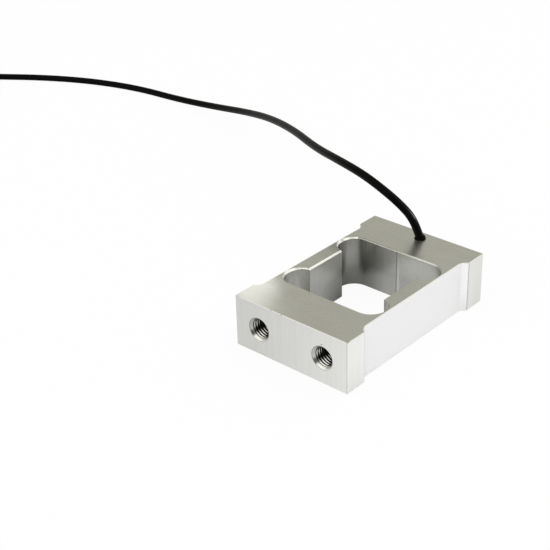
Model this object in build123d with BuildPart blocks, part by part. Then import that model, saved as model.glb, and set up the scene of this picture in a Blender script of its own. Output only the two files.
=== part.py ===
"""Single point load cell: a slotted aluminium beam with its strain gauges, side covers and cable."""

import os
from math import atan2, cos, hypot, pi, radians, sin, sqrt, tan

from build123d import *

# Sizes are in millimetres. X runs across the beam, Y along it towards the cable end, and Z up.
# Z = 0 is the surface that the cell lies on, and X = Y = 0 is the middle of the beam.

# Sensor body
block_length = 100.0
block_width = 63.0
block_thickness = 25.4
end_block_length = 11.75
recess_depth = 2.8
recess_cutter_radius = 5.0
edge_break = 0.3

# Window with four round lobes, and two pads that stand into it
end_wall = 23.0
side_wall = 10.4
lobe_radius = 7.75
flexure_thickness = 1.3
window_chamfer = 0.5

# Two tapped holes in each end, drilled for M10
tapped_hole_spacing = 35.75
tap_drill_diameter = 8.5
tapped_hole_depth = 16.0
countersink_diameter = 11.5
countersink_angle = 90.0

# Cable bore in the top face, and the wire bores from it to the side recesses
cable_bore_inset = 6.0
cable_bore_diameter = 5.6
cable_bore_floor = 3.0
wire_bore_diameter = 3.4
wire_bore_height = 5.0

# Label on the underside, left blank
label_thickness = 0.1
label_width = 28.0
label_length = 20.0
label_edge_gap = 1.5

# Strain gauges: a foil grid on a thin carrier, with two leads
gauge_length = 9.0
gauge_width = 6.0
carrier_thickness = 0.08
foil_thickness = 0.06
grid_length = 6.0
grid_bar_width = 0.35
grid_bar_pitch = 0.7
grid_bar_count = 6
lead_width = 0.5
lead_spacing = 2.0
lead_overlap = 1.2

# Solder terminals, ribbons and terminal boards
terminal_gap = 2.0
terminal_length = 2.4
terminal_height = 12.0
ribbon_width = 1.6
ribbon_thickness = 0.15
board_thickness = 0.6
board_width = 6.0
board_height = 20.0
board_clearance = 0.1
chip_length = 3.2
chip_width = 1.6
chip_thickness = 0.3
chip_pitch = 4.0

# White covers over the gauges
cover_thickness = 0.4

# Wiring inside the bores
core_bundle_diameter = 1.6
link_bundle_diameter = 1.0
bundle_gap = 0.4
bundle_bend_radius = 1.5

# Cable, with its ferrule and grommet in the bore
cable_diameter = 4.0
cable_end_height = 12.0
ferrule_length = 5.0
ferrule_wall = 0.6
bore_clearance = 0.05
nib_height = 1.4
nib_base_diameter = 5.4
nib_top_diameter = 4.6

# Cable route after the nib: up, over the left side, down, and along the surface
cable_route = [
    (-2.1, 41.8, 35.3),
    (-7.5, 37.8, 43.5),
    (-17.4, 35.9, 49.7),
    (-30.3, 38.0, 52.5),
    (-50.7, 45.7, 51.1),
    (-77.7, 60.4, 45.4),
    (-114.9, 86.6, 36.9),
    (-152.0, 107.0, 21.0),
    (-190.0, 124.0, 8.0),
    (-226.0, 136.0, 2.0),
    (-263.0, 142.0, 2.0),
    (-299.0, 139.0, 2.0),
    (-334.0, 129.0, 2.0),
    (-366.0, 113.0, 2.0),
    (-396.0, 92.0, 2.0),
]

# Coil of the length that is put away, two turns wide and two high, held by a tie
coil_mean_diameter = 46.0
coil_stub = 24.0
coil_exit_angle = 180.0
coil_exit_drop = 2.2
tie_thickness = 0.5
tie_width = 5.0
tie_angle = -30.0

# Stripped end
tail_run = 14.0
tail_steps = [(2.0, -14.0, -0.6), (2.4, -12.0, 0.0)]
sleeve_length = 12.0
sleeve_wall = 0.4
sleeve_grip = 6.0
core_diameter = 0.8
core_pitch = 0.85
core_length = 30.0
core_drop_length = 10.0
core_fan_angle = 11.0
conductor_diameter = 0.5
conductor_length = 6.0
core_names = ["red_core", "black_core", "shield_drain", "green_core", "white_core"]

# Places worked out from the sizes above
half_width = block_width / 2
half_length = block_length / 2
bottom_z = label_thickness
top_z = bottom_z + block_thickness
mid_z = bottom_z + block_thickness / 2
floor_x = half_width - recess_depth
window_length = block_length - 2 * end_wall
window_width = block_width - 2 * side_wall
recess_arc_span = sqrt(recess_cutter_radius**2 - (recess_cutter_radius - recess_depth) ** 2)
recess_flat_half = half_length - end_block_length - recess_arc_span
lobe_x = floor_x - flexure_thickness - lobe_radius
lobe_y = window_length / 2 - lobe_radius
board_y = (window_length / 2 + recess_flat_half) / 2
bore_y = half_length - cable_bore_inset
bore_floor_z = bottom_z + cable_bore_floor
wire_z = bottom_z + wire_bore_height
mouth = Vector(0, bore_y, top_z)
cable_radius = cable_diameter / 2
sides = {"left": -1, "right": 1}

os.makedirs("parts", exist_ok=True)


def save(builder, name):
    """Labels a finished piece and writes its STEP file."""
    builder.part.label = name
    export_step(builder.part, f"parts/{name}.step")


def recess_plane(sign):
    """Plane on a recess floor, facing out: its X runs along the beam, its Y up."""
    return Plane(origin=(sign * floor_x, 0, mid_z), x_dir=(0, sign, 0), z_dir=(sign, 0, 0))


def wire_bore_plane(sign):
    """Plane across a wire bore where it starts, on the cable bore's axis."""
    return Plane(origin=(0, bore_y, wire_z), z_dir=(sign * floor_x, board_y - bore_y, 0))


def recess_sketch(sign):
    """The cutter's path that leaves a side recess with round ends."""
    with Locations((sign * (floor_x + recess_cutter_radius), 0)):
        SlotCenterToCenter(2 * recess_flat_half, 2 * recess_cutter_radius, rotation=90)


wire_bore_length = hypot(floor_x, board_y - bore_y) + wire_bore_diameter / 2


# Sensor body, machined from one block
with BuildPart() as sensor_body:
    with BuildSketch(Plane.XY.offset(bottom_z)):
        Rectangle(block_width, block_length)
        with BuildSketch(mode=Mode.SUBTRACT):
            for sign in sides.values():
                recess_sketch(sign)
    extrude(amount=block_thickness)
    corner_edges = sensor_body.edges().filter_by(Axis.Z).filter_by(
        lambda edge: abs(abs(edge.center().X) - half_width) < edge_break / 10
    )
    rim_edges = sensor_body.faces().filter_by(Axis.Z).edges()
    chamfer(corner_edges + rim_edges, length=edge_break)
    with BuildSketch(Plane.XY.offset(bottom_z)):
        Rectangle(window_width, 2 * lobe_y)
        Rectangle(2 * lobe_x, window_length)
        with GridLocations(2 * lobe_x, 2 * lobe_y, 2, 2):
            Circle(lobe_radius)
    extrude(amount=block_thickness, mode=Mode.SUBTRACT)
    window_edges = sensor_body.edges(Select.LAST)
    for z in (bottom_z, top_z):
        chamfer(window_edges.filter_by_position(Axis.Z, z, z), length=window_chamfer)
    for end in (-1, 1):
        with Locations(Plane(origin=(0, end * half_length, mid_z), x_dir=(1, 0, 0), z_dir=(0, end, 0))):
            with GridLocations(tapped_hole_spacing, 0, 2, 1):
                CounterSinkHole(
                    radius=tap_drill_diameter / 2,
                    counter_sink_radius=countersink_diameter / 2,
                    depth=tapped_hole_depth,
                    counter_sink_angle=countersink_angle,
                )
    with Locations(mouth):
        Hole(radius=cable_bore_diameter / 2, depth=top_z - bore_floor_z)
    for sign in sides.values():
        with BuildSketch(recess_plane(sign)):
            with Locations((sign * board_y, 0)):
                Rectangle(board_width + 2 * board_clearance, board_height + 2 * board_clearance)
        extrude(amount=-board_thickness, mode=Mode.SUBTRACT)
        with BuildSketch(wire_bore_plane(sign)):
            Circle(wire_bore_diameter / 2)
        extrude(amount=wire_bore_length, mode=Mode.SUBTRACT)
save(sensor_body, "sensor_body")

# Blank label on the underside of the near end block
with BuildPart() as rating_label:
    with BuildSketch():
        with Locations((0, -half_length + label_edge_gap + label_length / 2)):
            RectangleRounded(label_width, label_length, radius=label_edge_gap / 2)
    extrude(amount=label_thickness)
save(rating_label, "rating_label")

# Pieces that lie under each cover, kept so that the cover can be cut round them
buried = {"left": [], "right": []}

# Strain gauges over the four thin walls, with their leads towards the near or far end
lead_end = {-1: lobe_y + gauge_length / 2 + terminal_gap + lead_overlap, 1: board_y - board_width / 2 + lead_overlap}
for side, sign in sides.items():
    for place, end in {"near": -1, "far": 1}.items():
        lead_start = lobe_y + grid_length / 2
        lead_length = lead_end[end] - lead_start
        with BuildPart() as gauge:
            with BuildSketch(recess_plane(sign)):
                with Locations((sign * end * lobe_y, 0)):
                    Rectangle(gauge_length, gauge_width)
            extrude(amount=carrier_thickness)
            with BuildSketch(recess_plane(sign).offset(carrier_thickness)):
                with Locations((sign * end * lobe_y, 0)):
                    with GridLocations(0, grid_bar_pitch, 1, grid_bar_count):
                        Rectangle(grid_length, grid_bar_width)
                    with GridLocations(grid_length, 0, 2, 1):
                        Rectangle(grid_bar_width, (grid_bar_count - 1) * grid_bar_pitch + grid_bar_width)
                with Locations((sign * end * (lead_start + lead_length / 2), 0)):
                    with GridLocations(0, lead_spacing, 1, 2):
                        Rectangle(lead_length, lead_width)
            extrude(amount=foil_thickness)
        save(gauge, f"{side}_{place}_gauge")
        buried[side].append(gauge.part)

# Solder terminal beside each near gauge, and the ribbon that runs from it to the board
terminal_y = lobe_y + gauge_length / 2 + terminal_gap + terminal_length / 2
terminal_rise = terminal_height / 2 - lead_spacing
ribbon_rise = terminal_rise + terminal_height / 2 - ribbon_width
ribbon_end = board_y - board_width / 2 + lead_overlap
for side, sign in sides.items():
    with BuildPart() as terminal:
        with BuildSketch(recess_plane(sign)):
            with Locations((-sign * terminal_y, terminal_rise)):
                Rectangle(terminal_length, terminal_height)
        extrude(amount=carrier_thickness)
    save(terminal, f"{side}_near_terminal")
    with BuildPart() as ribbon:
        with BuildSketch(recess_plane(sign).offset(carrier_thickness)):
            with Locations((sign * (ribbon_end - terminal_y) / 2, ribbon_rise)):
                Rectangle(ribbon_end + terminal_y, ribbon_width)
        extrude(amount=ribbon_thickness)
    save(ribbon, f"{side}_ribbon")
    buried[side] += [terminal.part, ribbon.part]

# Terminal board in each pocket, flush with the recess floor, with a way through for the wires
for side, sign in sides.items():
    with BuildPart() as board:
        with BuildSketch(recess_plane(sign)):
            with Locations((sign * board_y, 0)):
                Rectangle(board_width, board_height)
        extrude(amount=-board_thickness)
        with BuildSketch(wire_bore_plane(sign)):
            Circle(wire_bore_diameter / 2)
        extrude(amount=wire_bore_length, mode=Mode.SUBTRACT)
    save(board, f"{side}_terminal_board")

# Trimming resistors on the boards
resistors = {
    "zero_trim_resistor": ("right", chip_pitch),
    "span_resistor": ("right", 0),
    "zero_drift_resistor": ("left", chip_pitch),
    "span_drift_resistor": ("left", 0),
}
for name, (side, rise) in resistors.items():
    sign = sides[side]
    chip_y = board_y + (board_width - chip_width) / 2 - board_clearance
    with BuildPart() as chip:
        with BuildSketch(recess_plane(sign)):
            with Locations((sign * chip_y, rise)):
                Rectangle(chip_width, chip_length)
        extrude(amount=chip_thickness)
    save(chip, name)
    buried[side].append(chip.part)

# White silicone cover in each recess
for side, sign in sides.items():
    with BuildPart() as cover:
        with BuildSketch(Plane.XY.offset(bottom_z + edge_break)):
            recess_sketch(sign)
            with Locations((sign * (floor_x + cover_thickness / 2), 0)):
                Rectangle(cover_thickness, block_length, mode=Mode.INTERSECT)
        extrude(amount=block_thickness - 2 * edge_break)
        for piece in buried[side]:
            add(piece, mode=Mode.SUBTRACT)
    save(cover, f"{side}_cover")

# Wires inside: the link between the two boards, and the cable's cores to the right board
core_z = wire_z + (link_bundle_diameter + bundle_gap) / 2
link_z = wire_z - (core_bundle_diameter + bundle_gap) / 2
cable_end_z = bottom_z + cable_end_height
board_end = {side: Vector(sign * floor_x, board_y, 0) for side, sign in sides.items()}
wire_overrun = {side: (board_end[side] - Vector(0, bore_y, 0)) * 1.1 for side in sides}
with BuildPart() as link_bundle:
    with BuildLine() as link_path:
        FilletPolyline(
            Vector(0, bore_y, link_z) + wire_overrun["left"],
            Vector(0, bore_y, link_z),
            Vector(0, bore_y, link_z) + wire_overrun["right"],
            radius=bundle_bend_radius,
        )
    with BuildSketch(Plane(origin=link_path.wire() @ 0, z_dir=link_path.wire() % 0)):
        Circle(link_bundle_diameter / 2)
    sweep(path=link_path.wire())
    with Locations((0, bore_y, link_z)):
        Box(2 * floor_x, block_length, 2 * link_bundle_diameter, mode=Mode.INTERSECT)
save(link_bundle, "link_bundle")

with BuildPart() as core_bundle:
    with BuildLine() as core_path:
        FilletPolyline(
            Vector(0, bore_y, cable_end_z),
            Vector(0, bore_y, core_z),
            Vector(0, bore_y, core_z) + wire_overrun["right"],
            radius=bundle_bend_radius,
        )
    with BuildSketch(Plane(origin=core_path.wire() @ 0, z_dir=core_path.wire() % 0)):
        Circle(core_bundle_diameter / 2)
    sweep(path=core_path.wire())
    with Locations((0, bore_y, mid_z)):
        Box(2 * floor_x, block_length, block_thickness, mode=Mode.INTERSECT)
save(core_bundle, "core_bundle")

# Potting that seals the bore below the cable's end
plug_radius = cable_bore_diameter / 2 - bore_clearance
with BuildPart() as bore_potting:
    with Locations((0, bore_y, bore_floor_z)):
        Cylinder(plug_radius, cable_end_z - bore_floor_z, align=(Align.CENTER, Align.CENTER, Align.MIN))
    add(link_bundle.part, mode=Mode.SUBTRACT)
    add(core_bundle.part, mode=Mode.SUBTRACT)
save(bore_potting, "bore_potting")

# The cable's end in the bore: up to the mouth, then leaning with the nib
lean = (Vector(*cable_route[0]) - mouth).normalized()
nib_top = mouth + lean * nib_height
with BuildPart() as cable_end:
    with BuildLine() as end_path:
        Polyline((0, bore_y, cable_end_z), mouth, nib_top)
    with BuildSketch(Plane(origin=(0, bore_y, cable_end_z))):
        Circle(cable_radius)
    sweep(path=end_path.wire(), transition=Transition.RIGHT)
save(cable_end, "cable_end")

with BuildPart() as cable_ferrule:
    with BuildSketch(Plane(origin=(0, bore_y, cable_end_z))):
        Circle(cable_radius + ferrule_wall)
        Circle(cable_radius, mode=Mode.SUBTRACT)
    extrude(amount=ferrule_length)
save(cable_ferrule, "cable_ferrule")

# Grommet: a plug in the bore, with a short nib that leans with the cable
with BuildPart() as cable_grommet:
    with Locations(Plane(origin=mouth - lean * nib_height, z_dir=lean)):
        Cone(
            bottom_radius=nib_base_diameter / 2,
            top_radius=nib_top_diameter / 2,
            height=2 * nib_height,
            align=(Align.CENTER, Align.CENTER, Align.MIN),
        )
    split(bisect_by=Plane.XY.offset(top_z), keep=Keep.TOP)
    with BuildSketch(Plane(origin=(0, bore_y, cable_end_z + ferrule_length))):
        Circle(plug_radius)
    extrude(amount=top_z - cable_end_z - ferrule_length)
    add(cable_end.part, mode=Mode.SUBTRACT)
save(cable_grommet, "cable_grommet")


def route_radii(points):
    """Radius of each corner's arc: 0.45 of its shorter run over the tangent of half its turn."""
    radii = []
    for before, corner, after in zip(points, points[1:], points[2:]):
        turn = radians((corner - before).get_angle(after - corner))
        shorter = min((corner - before).length, (after - corner).length)
        radii.append(0.45 * shorter / tan(turn / 2))
    return radii


def tube(points, name):
    """Sweeps a piece of cable along straight runs joined by tangent arcs, and prints its radii."""
    radii = route_radii(points)
    with BuildPart() as piece:
        with BuildLine() as path:
            FilletPolyline(*points, radius=radii)
        with BuildSketch(Plane(origin=path.wire() @ 0, z_dir=path.wire() % 0)):
            Circle(cable_radius)
        sweep(path=path.wire())
    section = pi * cable_radius**2
    print(name, "length %.1f" % path.wire().length, "radii", [round(radius, 1) for radius in radii])
    print(name, "volume over section times length %.4f" % (piece.part.volume / section / path.wire().length))
    save(piece, name)


# The free cable, from the nib to the coil
route = [nib_top] + [Vector(*point) for point in cable_route]
tube(route, "cable")

# Coil: its cable comes in along the route's last run, turns left, and leaves at the exit angle
coil_radius = coil_mean_diameter / 2
outer_turn_radius = coil_radius + cable_radius
entry_direction = (route[-1] - route[-2]).normalized()
entry_point = route[-1] + entry_direction * coil_stub
coil_centre = entry_point + entry_direction.rotate(Axis.Z, 90) * outer_turn_radius
coil_base_z = tie_thickness
coil_height = 2 * cable_diameter
exit_angle = radians(coil_exit_angle)
exit_point = Vector(
    coil_centre.X + outer_turn_radius * cos(exit_angle),
    coil_centre.Y + outer_turn_radius * sin(exit_angle),
    coil_base_z + coil_height - cable_radius,
)
exit_direction = Vector(-sin(exit_angle), cos(exit_angle), -coil_exit_drop / coil_stub)
tail_start = exit_point + exit_direction * coil_stub
with BuildPart() as cable_coil:
    with BuildSketch(Plane(origin=(coil_centre.X, coil_centre.Y, coil_base_z))):
        Circle(coil_radius + cable_diameter)
        Circle(coil_radius - cable_diameter, mode=Mode.SUBTRACT)
    extrude(amount=coil_height)
    fillet(cable_coil.edges().filter_by(GeomType.CIRCLE), radius=0.9 * cable_radius)
    with BuildSketch(Plane(origin=route[-1], z_dir=entry_direction)):
        Circle(cable_radius)
    extrude(amount=coil_stub)
    with BuildSketch(Plane(origin=tail_start, z_dir=-exit_direction)):
        Circle(cable_radius)
    extrude(amount=coil_stub)
save(cable_coil, "cable_coil")
print("coil centre", coil_centre, "entry", entry_point, "exit", exit_point)

# Tie round the coil's section
with BuildPart() as coil_tie:
    with Locations(Plane(origin=(coil_centre.X, coil_centre.Y, 0)).rotated((0, 0, tie_angle))):
        with Locations((coil_radius, 0)):
            Box(
                2 * (cable_diameter + tie_thickness),
                tie_width,
                coil_height + 2 * tie_thickness,
                align=(Align.CENTER, Align.CENTER, Align.MIN),
            )
    add(cable_coil.part, mode=Mode.SUBTRACT)
save(coil_tie, "coil_tie")

# Tail from the coil to the stripped end
tail = [tail_start, tail_start + exit_direction * tail_run]
for step in tail_steps:
    tail.append(tail[-1] + Vector(*step))
tube(tail, "cable_tail")

tail_direction = (tail[-1] - tail[-2]).normalized()
sleeve_start = tail[-1] - tail_direction * sleeve_grip
sleeve_end = sleeve_start + tail_direction * sleeve_length
with BuildPart() as end_sleeve:
    with BuildSketch(Plane(origin=sleeve_start, z_dir=tail_direction)):
        Circle(cable_radius + sleeve_wall)
    extrude(amount=sleeve_length)
    with BuildSketch(Plane(origin=sleeve_start, z_dir=tail_direction)):
        Circle(cable_radius)
    extrude(amount=sleeve_grip, mode=Mode.SUBTRACT)
save(end_sleeve, "end_sleeve")

# Stripped cores, fanned out on the surface
tail_heading = atan2(tail_direction.Y, tail_direction.X)
middle = (len(core_names) - 1) / 2
for index, name in enumerate(core_names):
    heading = tail_heading + radians(core_fan_angle) * (index - middle)
    start = sleeve_end + tail_direction.rotate(Axis.Z, 90) * core_pitch * (index - middle)
    along = Vector(cos(heading), sin(heading), 0)
    drop = Vector(0, 0, core_diameter / 2 - sleeve_end.Z)
    bend = start + tail_direction * core_diameter
    landing = bend + along * core_drop_length + drop
    core_end = landing + along * (core_length - core_drop_length)
    with BuildPart() as core:
        with BuildLine() as core_line:
            FilletPolyline(start, bend, landing, core_end, radius=core_diameter / 2 + conductor_diameter)
        with BuildSketch(Plane(origin=start, z_dir=core_line.wire() % 0)):
            Circle(core_diameter / 2)
        sweep(path=core_line.wire())
        with BuildSketch(Plane(origin=core_end, z_dir=along)):
            Circle(conductor_diameter / 2)
        extrude(amount=conductor_length)
    save(core, name)
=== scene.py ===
"""Looks of the single point load cell: camera, studio, finishes and the pieces that need finer meshes."""

import math

import bmesh
import bpy
import numpy as np
from mathutils import Matrix, Quaternion, Vector


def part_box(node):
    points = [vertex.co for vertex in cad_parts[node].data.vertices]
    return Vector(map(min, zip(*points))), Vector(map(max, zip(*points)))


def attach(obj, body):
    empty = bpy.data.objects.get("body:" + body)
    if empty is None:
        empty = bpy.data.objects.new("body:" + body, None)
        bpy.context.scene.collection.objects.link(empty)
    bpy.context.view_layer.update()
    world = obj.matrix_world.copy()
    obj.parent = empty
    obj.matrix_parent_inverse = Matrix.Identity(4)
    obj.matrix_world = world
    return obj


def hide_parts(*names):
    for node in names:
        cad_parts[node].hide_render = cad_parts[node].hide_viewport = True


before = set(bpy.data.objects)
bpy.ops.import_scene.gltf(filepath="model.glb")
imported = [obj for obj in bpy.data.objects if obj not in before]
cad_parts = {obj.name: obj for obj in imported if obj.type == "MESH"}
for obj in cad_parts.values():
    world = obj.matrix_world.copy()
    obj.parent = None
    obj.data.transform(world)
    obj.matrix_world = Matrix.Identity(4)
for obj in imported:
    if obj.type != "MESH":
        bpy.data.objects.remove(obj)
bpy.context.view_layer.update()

# Everything is in metres. These sizes are the part's own, and the rest is read from the frame.
MM = 0.001
CABLE_DIAMETER = 4.0 * MM
HOLE_SPACING = 35.75 * MM
TAP_DRILL_RADIUS = 4.25 * MM
THREAD_PITCH = 1.5 * MM
THREAD_ROOT_RADIUS = 5.0 * MM
THREAD_DEPTH = 13.0 * MM

body_low, body_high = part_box("sensor_body")
end_y = body_high.y
top_z = body_high.z
mid_z = (body_low.z + body_high.z) / 2

# Camera of the photograph, found by fitting the block's corners
CAMERA_PLACE = Vector((0.30508, -0.39268, 0.30323))
CAMERA_AZIMUTH = math.radians(42.369)
CAMERA_ELEVATION = math.radians(29.208)
CAMERA_ROLL = math.radians(1.646)
CAMERA_LENS_MM = 82.77
SENSOR_WIDTH_MM = 36.0


def placed(name, data):
    """A new object at the origin of the scene."""
    item = bpy.data.objects.new(name, data)
    bpy.context.scene.collection.objects.link(item)
    return item


def add_camera():
    """Camera that looks along the azimuth and down by the elevation, then turned about its own axis."""
    data = bpy.data.cameras.new("photo_camera")
    data.lens = CAMERA_LENS_MM
    data.sensor_width = SENSOR_WIDTH_MM
    data.clip_start = 0.01
    data.clip_end = 20.0
    camera = placed("photo_camera", data)
    turn = Matrix.Rotation(CAMERA_AZIMUTH, 4, "Z")
    tilt = Matrix.Rotation(math.pi / 2 - CAMERA_ELEVATION, 4, "X")
    roll = Matrix.Rotation(-CAMERA_ROLL, 4, "Z")
    camera.matrix_world = Matrix.Translation(CAMERA_PLACE) @ turn @ tilt @ roll
    bpy.context.scene.camera = camera


add_camera()

# Cable: its route from the grommet's top, in millimetres as in the part's source
NIB_TOP = (-0.287, 43.700, 26.837)
CABLE_ROUTE = [
    (-2.1, 41.8, 35.3),
    (-7.5, 37.8, 43.5),
    (-17.4, 35.9, 49.7),
    (-30.3, 38.0, 52.5),
    (-50.7, 45.7, 51.1),
    (-77.7, 60.4, 45.4),
    (-114.0, 85.2, 37.4),
    (-152.0, 108.5, 27.3),
    (-190.0, 128.0, 15.6),
    (-228.0, 139.6, 6.0),
    (-263.0, 141.6, 2.0),
    (-299.0, 139.0, 2.0),
    (-334.0, 129.0, 2.0),
    (-366.0, 113.0, 2.0),
    (-396.0, 92.0, 2.0),
]
COIL_CENTRE = (-401.325, 57.756)
COIL_START_DEGREES = 125.0
COIL_END_DEGREES = 3 * 360.0 + 180.0
COIL_STEPS = 76
# Radius and height of the turns, and how far round each one is left for the next
TURN_SLOTS = [(25.0, 2.5), (21.0, 2.5), (21.0, 6.5), (25.0, 6.5)]
TURN_CHANGES = [290.0, 620.0, 950.0]
TURN_CHANGE_SPAN = 40.0
# The cable after the coil, down to the stripped end
CABLE_TAIL = [
    (-426.325, 48.7, 6.5),
    (-426.325, 33.756, 4.3),
    (-426.325, 19.756, 3.017),
    (-424.325, 5.756, 2.417),
    (-421.925, -6.244, 2.417),
]
CABLE_SEGMENTS = 10


def eased(share):
    """Smooth step: three times the share's square, less twice its cube, with the share kept from 0 to 1."""
    share = np.clip(share, 0, 1)
    return share * share * (3 - 2 * share)


def coil_points():
    """Control points of the coil: a polygon that touches the turns' circles, with smooth changes of turn."""
    step = (COIL_END_DEGREES - COIL_START_DEGREES) / COIL_STEPS
    turned = (np.arange(COIL_STEPS) + 0.5) * step
    radius = np.full(COIL_STEPS, TURN_SLOTS[0][0])
    height = np.full(COIL_STEPS, TURN_SLOTS[0][1])
    for change, old, new in zip(TURN_CHANGES, TURN_SLOTS, TURN_SLOTS[1:]):
        share = eased((turned - change) / TURN_CHANGE_SPAN)
        radius += share * (new[0] - old[0])
        height += share * (new[1] - old[1])
    angle = np.radians(COIL_START_DEGREES + turned)
    reach = radius / math.cos(math.radians(step) / 2)
    x = COIL_CENTRE[0] + reach * np.cos(angle)
    y = COIL_CENTRE[1] + reach * np.sin(angle)
    return [tuple(point) for point in np.stack([x, y, height], 1)]


def add_cable():
    """The cable as one smooth spline through its route, its coil and its tail."""
    points = [NIB_TOP, *CABLE_ROUTE, *coil_points(), *CABLE_TAIL]
    curve = bpy.data.curves.new("signal_cable", "CURVE")
    curve.dimensions = "3D"
    curve.bevel_depth = CABLE_DIAMETER / 2
    curve.bevel_resolution = CABLE_SEGMENTS
    curve.resolution_u = 12
    curve.use_fill_caps = True
    spline = curve.splines.new("NURBS")
    spline.points.add(len(points) - 1)
    for target, point in zip(spline.points, points):
        target.co = (*(value * MM for value in point), 1.0)
    spline.order_u = 3
    spline.use_endpoint_u = True
    return placed("signal_cable", curve)


cable = add_cable()


# Meshes

def mesh_piece(name, points, faces, smooth=True, crease=35.0):
    """A piece from an array of points and a list of faces, shaded smooth up to the crease angle.

    Doubled points are merged and all faces are turned outwards first."""
    mesh = bpy.data.meshes.new(name)
    mesh.from_pydata(np.asarray(points, float).tolist(), [], faces)
    shape = bmesh.new()
    shape.from_mesh(mesh)
    bmesh.ops.remove_doubles(shape, verts=shape.verts, dist=1e-7)
    bmesh.ops.recalc_face_normals(shape, faces=shape.faces)
    shape.to_mesh(mesh)
    shape.free()
    if smooth:
        mesh.shade_smooth()
        mesh.set_sharp_from_angle(angle=math.radians(crease))
    return placed(name, mesh)


def loft(rings, closed=False):
    """Points and faces of a surface through rings of points, an array of ring, point and coordinate.

    Each face joins two neighbours on one ring to the same two on the next. Open ends get a flat cap."""
    count, around = rings.shape[:2]
    index = np.arange(count * around).reshape(count, around)
    if closed:
        index = np.vstack([index, index[:1]])
    following = np.roll(index, -1, axis=1)
    quads = np.stack([index[:-1], following[:-1], following[1:], index[1:]], -1).reshape(-1, 4)
    faces = quads.tolist()
    if not closed:
        faces += [index[0].tolist(), index[-1][::-1].tolist()]
    return rings.reshape(-1, 3), faces


def axes_across(direction):
    """Two unit vectors across a direction, the first one level."""
    direction = np.asarray(direction, float) / np.linalg.norm(direction)
    level = np.cross(direction, (0, 0, 1.0))
    if np.linalg.norm(level) < 1e-6:
        level = np.array([1.0, 0, 0])
    level /= np.linalg.norm(level)
    return level, np.cross(level, direction)


def lathe(start, direction, profile, around=48):
    """Rings of a turned shape: profile gives distance along the axis and radius."""
    direction = np.asarray(direction, float) / np.linalg.norm(direction)
    level, rise = axes_across(direction)
    angle = np.linspace(0, 2 * np.pi, around, endpoint=False)
    circle = np.outer(np.cos(angle), level) + np.outer(np.sin(angle), rise)
    along = np.array([row[0] for row in profile])
    radius = np.array([row[1] for row in profile])
    centres = np.asarray(start, float) + np.outer(along, direction)
    return centres[:, None, :] + radius[:, None, None] * circle


# Shader helpers

def node(tree, kind, inputs=None, **settings):
    """Adds a node, sets its own values, and fills its sockets with values or links."""
    made = tree.nodes.new(kind)
    for key, value in settings.items():
        setattr(made, key, value)
    for key, value in (inputs or {}).items():
        socket = made.inputs[key]
        if isinstance(value, bpy.types.NodeSocket):
            tree.links.new(value, socket)
        else:
            socket.default_value = value
    return made


def maths(tree, operation, first, second=0.0, third=0.0):
    """One Math node's output."""
    inputs = {0: first, 1: second, 2: third}
    return node(tree, "ShaderNodeMath", inputs, operation=operation).outputs[0]


def product(tree, first, *others):
    """All the values multiplied together."""
    for other in others:
        first = maths(tree, "MULTIPLY", first, other)
    return first


def blend_colours(tree, share, first, second, kind="MIX"):
    """Mixes the second colour into the first by a share, or multiplies the first by it."""
    inputs = {0: share, 6: first, 7: second}
    return node(tree, "ShaderNodeMix", inputs, data_type="RGBA", blend_type=kind).outputs[2]


def blend_values(tree, share, first, second):
    """Mixes two values by a share."""
    return node(tree, "ShaderNodeMix", {0: share, 2: first, 3: second}, data_type="FLOAT").outputs[0]


def ranged(tree, value, low, high, new_low=0.0, new_high=1.0):
    """Maps a value from one range to another, clamped."""
    inputs = {0: value, 1: low, 2: high, 3: new_low, 4: new_high}
    return node(tree, "ShaderNodeMapRange", inputs).outputs[0]


def below(tree, value, low, high):
    """One up to the lower limit, nothing past the higher one, and a slope between them."""
    return ranged(tree, value, low, high, 1.0, 0.0)


def separated(tree, vector):
    """A vector's x, y and z."""
    return node(tree, "ShaderNodeSeparateXYZ", {0: vector}).outputs


def gap_to(tree, place, centre):
    """Distance from a point."""
    return node(tree, "ShaderNodeVectorMath", {0: place, 1: centre}, operation="DISTANCE").outputs[1]


def noise(tree, place, scale, detail=2.0, roughness=0.5, offset=(0, 0, 0)):
    """Noise on Object coordinates, with its own scale along each axis, in waves per metre."""
    mapped = node(tree, "ShaderNodeMapping", {"Vector": place, "Location": offset, "Scale": scale})
    inputs = {"Vector": mapped.outputs[0], "Scale": 1.0, "Detail": detail, "Roughness": roughness}
    return node(tree, "ShaderNodeTexNoise", inputs).outputs[0]


def spread(tree, grain, low, high):
    """Spreads a noise over a range of values."""
    return ranged(tree, grain, 0.3, 0.7, low, high)


def new_material(name, **sockets):
    """A material with a Principled shader, and its coordinates.

    Sockets that stay the same all over are set on the shader directly."""
    material = bpy.data.materials.new(name)
    material.use_nodes = True
    tree = material.node_tree
    tree.nodes.clear()
    shader = node(tree, "ShaderNodeBsdfPrincipled")
    for key, value in sockets.items():
        shader.inputs[key.replace("_", " ")].default_value = value
    output = node(tree, "ShaderNodeOutputMaterial")
    tree.links.new(shader.outputs[0], output.inputs[0])
    return material, tree, shader, node(tree, "ShaderNodeTexCoord").outputs


def bumped(tree, shader, height, depth):
    """Gives a shader a bump of that depth in metres."""
    bump = node(tree, "ShaderNodeBump", {"Height": height, "Distance": depth, "Strength": 1.0})
    tree.links.new(bump.outputs[0], shader.inputs["Normal"])


# Finishes

ALUMINIUM_DARK = (0.746, 0.751, 0.725, 1)
ALUMINIUM_LIGHT = (0.826, 0.831, 0.805, 1)
MILLED_ROUGHNESS = 0.30
MILLED_BUMP = 0.006 * MM
# A change of tone that looks sharp
SHARP = 0.1 * MM
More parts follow.
